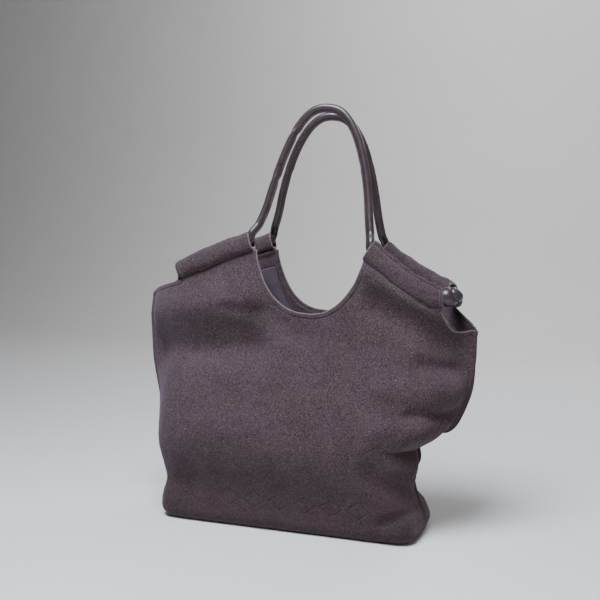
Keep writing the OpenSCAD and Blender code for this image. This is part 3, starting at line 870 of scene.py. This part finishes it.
def casing_piece(hand, side):
    """Puffed tube of felt on a shoulder, open at both ends, with a ridge along its inner top."""
    name = f"{SIDE_NAME[side]}_{HAND_NAME[hand]}"
    rings = CASING_RINGS
    s = np.linspace(NECK_HALF + (0.003 if hand < 0 else -0.001), casing_end(hand, side), rings)
    path = casing_line(s, hand, side)
    t, n, b = path_frames(path, (0, 0, 1.0))
    turn = np.linspace(0, 2 * math.pi, 65)[:-1]
    outwards = np.cos(turn) * (1 if (n[0] * (0, side, 0)).sum() > 0 else -1)
    seed = 40 + 3 * hand + side
    length = s[-1] - s[0]
    cut = END_CUT if hand > 0 else 0.0
    crest = 0.25 if hand < 0 else (1.25 if side < 0 else 0.35)

    def ring(k, depth, slide=0.0):
        u = k / (rings - 1)
        low = np.clip(-np.sin(turn), 0, 1)
        across = (1 + 0.04 * np.clip(outwards, 0, 1)) * CASING_DEPTH / 2
        tall = CASING_HEIGHT / 2 * (1 + 0.10 * low * np.clip(outwards, 0, 1))
        puff = 0.0004 * waves(turn * 0.012, u * 0.12 + 0 * turn, 10, 0.020, 0.060, seed)
        puff = puff + 0.0004 * low * waves(u * 0.12 + 0 * turn, 0 * turn, 6, 0.006, 0.012, seed + 9)
        from_top = (turn - math.pi / 2) * -np.sign(outwards[0])
        rise = crest * (1 + 0.25 * math.sin(31 * u) + 0.15 * math.sin(73 * u))
        ridge = rise * (0.0016 * bell(from_top, 0.10, 0.15) - 0.0024 * bell(from_top, 0.40, 0.12))
        end = (1 - u) * length
        hem = 0.0005 * (1 - ease(end, 0.005, HEM)) - 0.0009 * bell(end, 0.0062, 0.0011)
        swell = 1 + (puff + ridge + hem) / (CASING_DEPTH / 2) - depth / (CASING_DEPTH / 2)
        tuck = 1 - 0.06 * bell(end, 0, 0.006) + 0.05 * bell(u * length, 0, 0.008)
        w = across * np.sign(np.cos(turn)) * abs(np.cos(turn)) ** 0.8 * swell
        h = tall * np.sign(np.sin(turn)) * abs(np.sin(turn)) ** 0.8 * swell * tuck
        return path[k] + t[k] * slide + w[:, None] * n[k] + h[:, None] * (b[k] - cut * u ** 4 * t[k])

    outer = [ring(k, 0) for k in range(rings)]
    inner = [ring(k, CASING_WALL) for k in range(rings)]
    half = CASING_WALL / 2
    arc = (0.5, 1.05, 1.57, 2.1, 2.64)
    lip_in = [ring(0, half - half * math.cos(a), -half * math.sin(a)) for a in arc[::-1]]
    lip_out = [ring(rings - 1, half - half * math.cos(a), half * math.sin(a)) for a in arc]
    loop = np.array(lip_in + outer + lip_out + inner[::-1])
    cols = len(turn)
    casing = mesh_object(f"{name}_casing_tube", loop, grid_faces(len(loop), cols, True, True), WOOL_PLAIN)
    # The casing's open ends get the paler edge felt, which is partly a painted highlight.
    casing.data.materials.append(FELT_EDGE_AND_HIGHLIGHT)
    first, last = len(arc), len(arc) + rings
    for face in casing.data.polygons:
        row = face.index // cols
        face.material_index = int(row < first or last - 1 <= row < last + len(arc))
    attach(casing, "bag")
    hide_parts(f"{name}_casing")
    hoop = np.vstack([outer[rings - 5], outer[rings - 5][:1]])
    thread = stitches(f"{name}_casing_stitches", [(hoop, hoop - path[rings - 5])], THREAD, pitch=0.0036,
                      length=0.0026)
    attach(thread, "bag")


for side in (-1, 1):
    for hand in (-1, 1):
        casing_piece(hand, side)


# ---------------------------------------------------------------- handles
def keyhole():
    """Outline of the sewn leather round, its flange towards +x."""
    half = FLANGE_HALF
    start = math.asin(half / ROUND) + 0.16
    turn = np.linspace(start, 2 * math.pi - start, 27)
    body = np.stack([ROUND * np.cos(turn), ROUND * np.sin(turn)], axis=1)
    reach = ROUND + FLANGE
    rising = [(ROUND + 0.0001, half * 0.80), (reach - 0.0006, half), (reach - 0.0001, half * 0.7)]
    tip = [(x, -y) for x, y in rising] + [(reach, 0)] + rising[::-1]
    return np.vstack([body, np.array(tip)])


# Kinks of each handle: share of the way along it from its left end, and strength.
KINKS = {-1: ((0.315, 1.0), (0.415, 1.3), (0.66, 0.3)), 1: ((0.34, 0.5), (0.64, 0.4))}


def handle_line(side):
    """The whole leather round: inside its left casing, up over its loop and into the right casing."""
    ends = []
    for hand in (-1, 1):
        s = np.array([casing_end(hand, side) + 0.001, 0.185, 0.165, 0.145, 0.127, 0.113, 0.1015])
        lift = np.array([0, 0, 0, 0, 0, -0.0004, -0.0012])
        inside = casing_line(s, hand, side, lift)
        rise = np.array([0.0020, 0.0125])
        x = hand * (LOOP_HALF + flare(hand, rise))
        ends.append(np.vstack([inside, settled(x, side * HINGE_Y + 0 * x, HINGE_Z + rise)]))
    arch = loop_line(np.linspace(0.22, math.pi - 0.22, 44), side)
    return smooth_path(np.vstack([ends[0], arch, ends[1][::-1]]), 0.0022)


def handle_pieces(side):
    """Loop, two bends into the casings, core cord and seam stitches of one handle."""
    name = SIDE_NAME[side]
    path = handle_line(side)
    frames = path_frames(path, (0, -1, 0))
    length = run_length(path)
    u = length / length[-1]
    above = path[:, 2] + path[:, 0] * math.tan(LEAN) > HINGE_Z * math.cos(LEAN) + BEND_TOP
    first, last = int(np.argmax(above)), len(above) - 1 - int(np.argmax(above[::-1]))
    squeeze = np.ones(len(path))
    for at, amount in KINKS[side]:
        squeeze -= 0.16 * amount * bell(u - at, 0, 0.007)
        squeeze += 0.06 * amount * bell(u - at, 0.014, 0.008)
    outline = keyhole()

    def part(a, b, label):
        def ring(k):
            return outline * (squeeze[a + k], 2 - squeeze[a + k])
        return tube(label, path[a:b], tuple(f[a:b] for f in frames), ring, LEATHER)

    loop = part(first, last + 1, f"{name}_handle_loop")
    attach(loop, f"{name}_handle")
    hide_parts(f"{name}_handle_leather")
    turn = np.linspace(0, 6.0, 16)
    round_core = CORE_RADIUS * np.stack([np.cos(turn), np.sin(turn)], axis=1)
    inner = slice(first + 1, last)
    core_frames = tuple(f[inner] for f in frames)
    core = tube(f"{name}_core_cord", path[inner], core_frames, lambda k: round_core, CORD)
    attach(core, f"{name}_handle")
    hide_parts(f"{name}_handle_cord")
    for hand, a, b in ((-1, 0, first + 1), (1, last, len(path))):
        bend = part(a, b, f"{name}_{HAND_NAME[hand]}_handle_bend")
        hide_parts(f"{name}_{HAND_NAME[hand]}_handle_end")
        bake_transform(bend)
    t, n, b = frames
    seam = slice(first + 2, last - 1)
    lines = []
    for flip in (-1, 1):
        at = path + n * ((ROUND + 0.0011) * squeeze)[:, None] + b * flip * 0.00105
        lines.append((at[seam], (b * flip)[seam]))
    thread = stitches(f"{name}_handle_stitches", lines, LEATHER_THREAD, pitch=0.0040, length=0.0029,
                      thick=0.00028)
    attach(thread, f"{name}_handle")


for side in (-1, 1):
    handle_pieces(side)


# ---------------------------------------------------------------- knots
def knot_shift(hand, side):
    """How far a knot lies beyond its casing, towards the middle of the bag and upwards."""
    if hand > 0:
        return (0.0132, 0, 0.0092) if side < 0 else (0.009, 0.022, -0.004)
    return (0.013, 0.024, -0.024) if side < 0 else (0.013, 0.006, 0.001)


def knot_axis(hand, side):
    """Direction of a knot's axis, from its casing outwards."""
    if hand > 0:
        axis = (1, 0, 0.35) if side < 0 else (0.45, -0.85, -0.2)
    else:
        axis = (-0.2, 0.64, -0.75) if side < 0 else (-0.7, -0.6, -0.3)
    return np.array(axis) / np.linalg.norm(axis)


def knot_piece(hand, side):
    """Stopper knot: the round wraps itself twice, first wide and flat, then tight, its end tucked away."""
    name = f"{SIDE_NAME[side]}_{HAND_NAME[hand]}"
    ahead, inwards, up = knot_shift(hand, side)
    end = casing_end(hand, side)
    size = 0.85 if hand > 0 and side > 0 else 1.0
    centre = casing_line(end + ahead, hand, side) + (0, -side * inwards, up)
    away = knot_axis(hand, side)
    across = np.cross(away, (0, 0, 1.0))
    across /= np.linalg.norm(across)
    over = np.cross(across, away)
    local = [(-0.0080, 0, 0, 1), (-0.0045, 0.0012, 0.0006, 1)]
    for turn in np.linspace(0.05, 3.45, 66) * math.pi:
        first = ease(turn, 0, 0.45 * math.pi) * (1 - ease(turn, 1.7 * math.pi, 2.1 * math.pi))
        second = ease(turn, 1.7 * math.pi, 2.2 * math.pi)
        reach = 0.0088 * min(1, 0.55 + 0.3 * turn) - 0.0018 * second
        tilt = 0.0014 * math.sin(turn + 0.7)
        local.append((0.0004 + 0.0126 * second + tilt, -reach * math.cos(turn), -reach * math.sin(turn),
                      1 + 1.10 * first))
    local += [(0.0150, -0.0010, 0.0010, 1), (0.0163, -0.0035, -0.0035, 1), (0.0166, -0.0060, -0.0085, 1)]
    local = np.array(local, float) * (size, size, size, 1)
    body = centre + local[:, :1] * away + local[:, 1:2] * across + local[:, 2:3] * over
    start = casing_line(np.array([end - 0.004, end + 0.001]), hand, side)
    stops = np.vstack([np.hstack([start, [[1], [1]]]), np.hstack([body, local[:, 3:]])])
    path = resampled(smooth_path(stops, 0.0011), 0.0011)
    path, wide = path[:, :3], path[:, 3]
    frames = turning_frames(path)
    turn = np.linspace(0, 2 * math.pi, 33)[:-1]
    count = len(path)
    _, n, b = frames
    lean_to = (n @ away, b @ away)

    def ring(k):
        """Outline of the strand, flattened along the casing's direction where it is wide."""
        radius = KNOT_STRAND * size * (0.62 + 0.38 * float(ease(count - 1 - k, -1.0, 5.0)))
        main = math.atan2(lean_to[1][k], lean_to[0][k])
        p, q = radius * wide[k] * np.cos(turn), radius * (1 + 0.26 * (wide[k] - 1)) * np.sin(turn)
        turned = (p * math.cos(main) - q * math.sin(main), p * math.sin(main) + q * math.cos(main))
        return np.stack(turned, axis=1)

    knot = tube(f"{name}_stopper_knot", path, frames, ring, KNOT_LEATHER)
    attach(knot, "bag")
    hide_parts(f"{name}_knot")


for side in (-1, 1):
    for hand in (-1, 1):
        knot_piece(hand, side)

# ---------------------------------------------------------------- node kept from the CAD
board = bpy.data.objects["base_board"]
board.data.materials.clear()
board.data.materials.append(BOARD)
